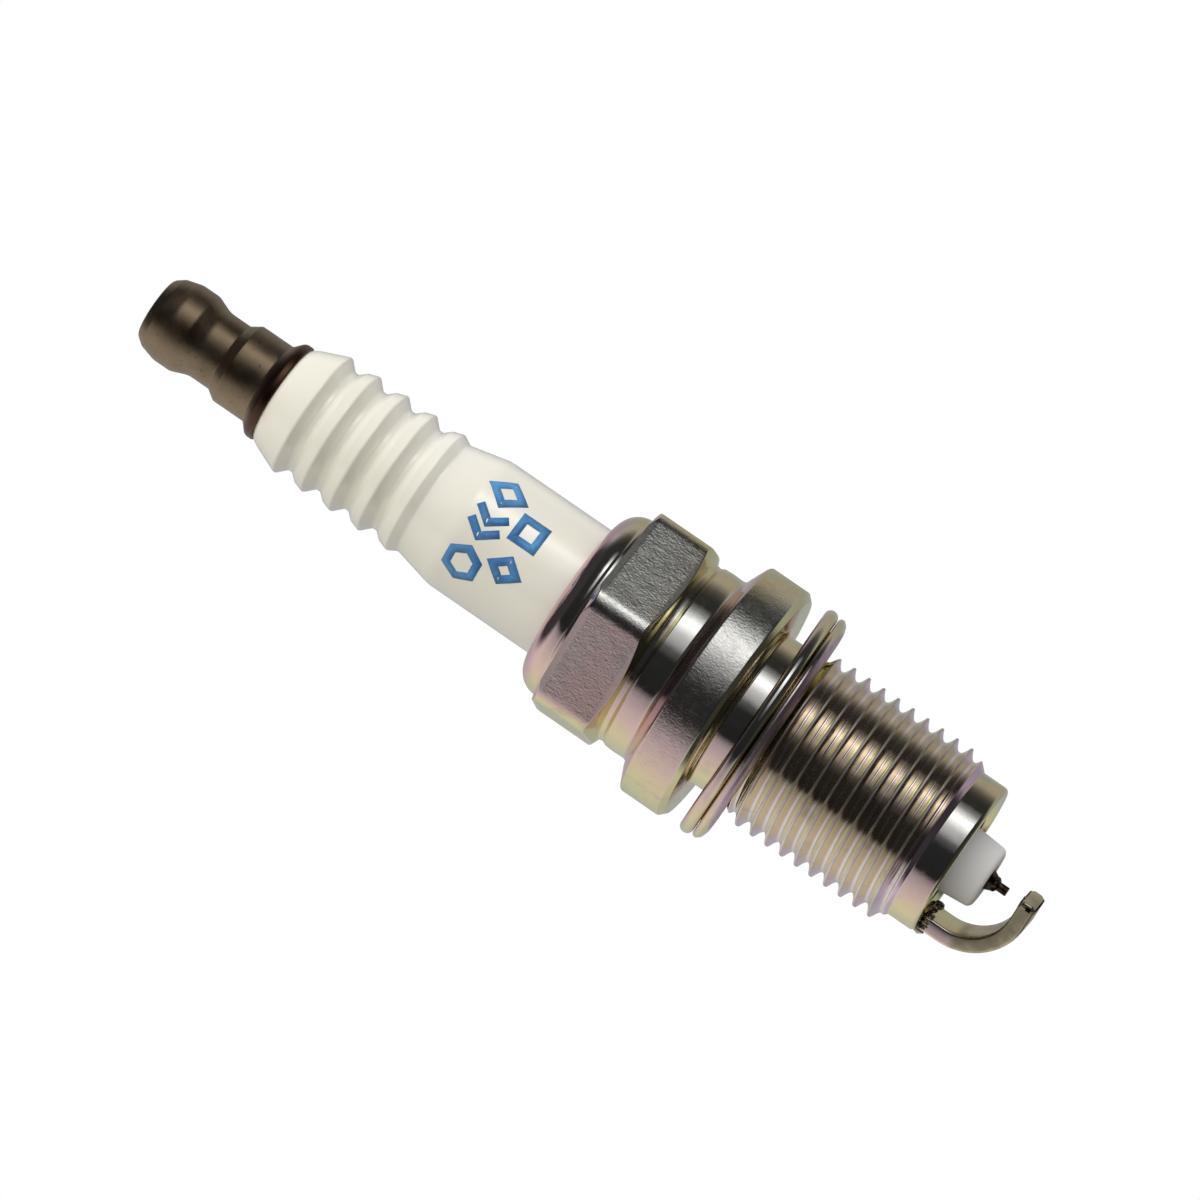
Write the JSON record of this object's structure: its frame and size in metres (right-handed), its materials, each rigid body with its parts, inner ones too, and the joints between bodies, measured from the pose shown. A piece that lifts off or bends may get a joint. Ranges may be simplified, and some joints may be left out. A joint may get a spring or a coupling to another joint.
{
  "type": "spark plug",
  "caption": "Gasket-seat spark plug: ribbed white insulator, dark fixed terminal, plated hexagon shell, captive gasket, fine-tip electrode and bent ground strap.",
  "frame": {"origin": "on the plug's axis, in the plane of the shell's gasket seat", "axes": "+Z along the axis from the firing end towards the terminal; the ground electrode is welded on the -X side; one corner of the hexagon points to +X"},
  "size_m": [0.0189, 0.0189, 0.0756],
  "materials": {
    "plated_steel": "bright nickel or zinc plating with a faint pink and green tint",
    "glazed_ceramic": "gloss, warm white alumina; bare and matt at the nose",
    "dark_nickel": "dark bronze-black, satin",
    "nickel_alloy": "bare nickel alloy, dull, drawn marks",
    "precious_metal": "ground, satin",
    "copper": "bare copper, unseen",
    "seal_glass": "copper-filled glass, unseen",
    "resistor_ceramic": "fired carbon and glass, unseen",
    "packing_steel": "plain steel, unseen",
    "talc": "pressed powder, unseen"
  },
  "bodies": {
    "plug": {"metal_shell": "plated_steel", "insulator": "glazed_ceramic", "terminal": "dark_nickel", "upper_glass_seal": "seal_glass", "resistor": "resistor_ceramic", "lower_glass_seal": "seal_glass", "centre_electrode": "nickel_alloy", "centre_electrode_core": "copper", "iridium_tip": "precious_metal", "packing_washer": "packing_steel", "lower_packing_ring": "packing_steel", "talc_seal": "talc", "upper_packing_ring": "packing_steel", "ground_electrode": "nickel_alloy", "platinum_chip": "precious_metal"},
    "gasket": {"gasket": "plated_steel"}
  },
  "joints": [
    {"name": "gasket_slide", "type": "slide", "parent": "plug", "child": "gasket", "axis": [0, 0, 1], "range_m": [-0.0013, 0.0004]}
  ]
}
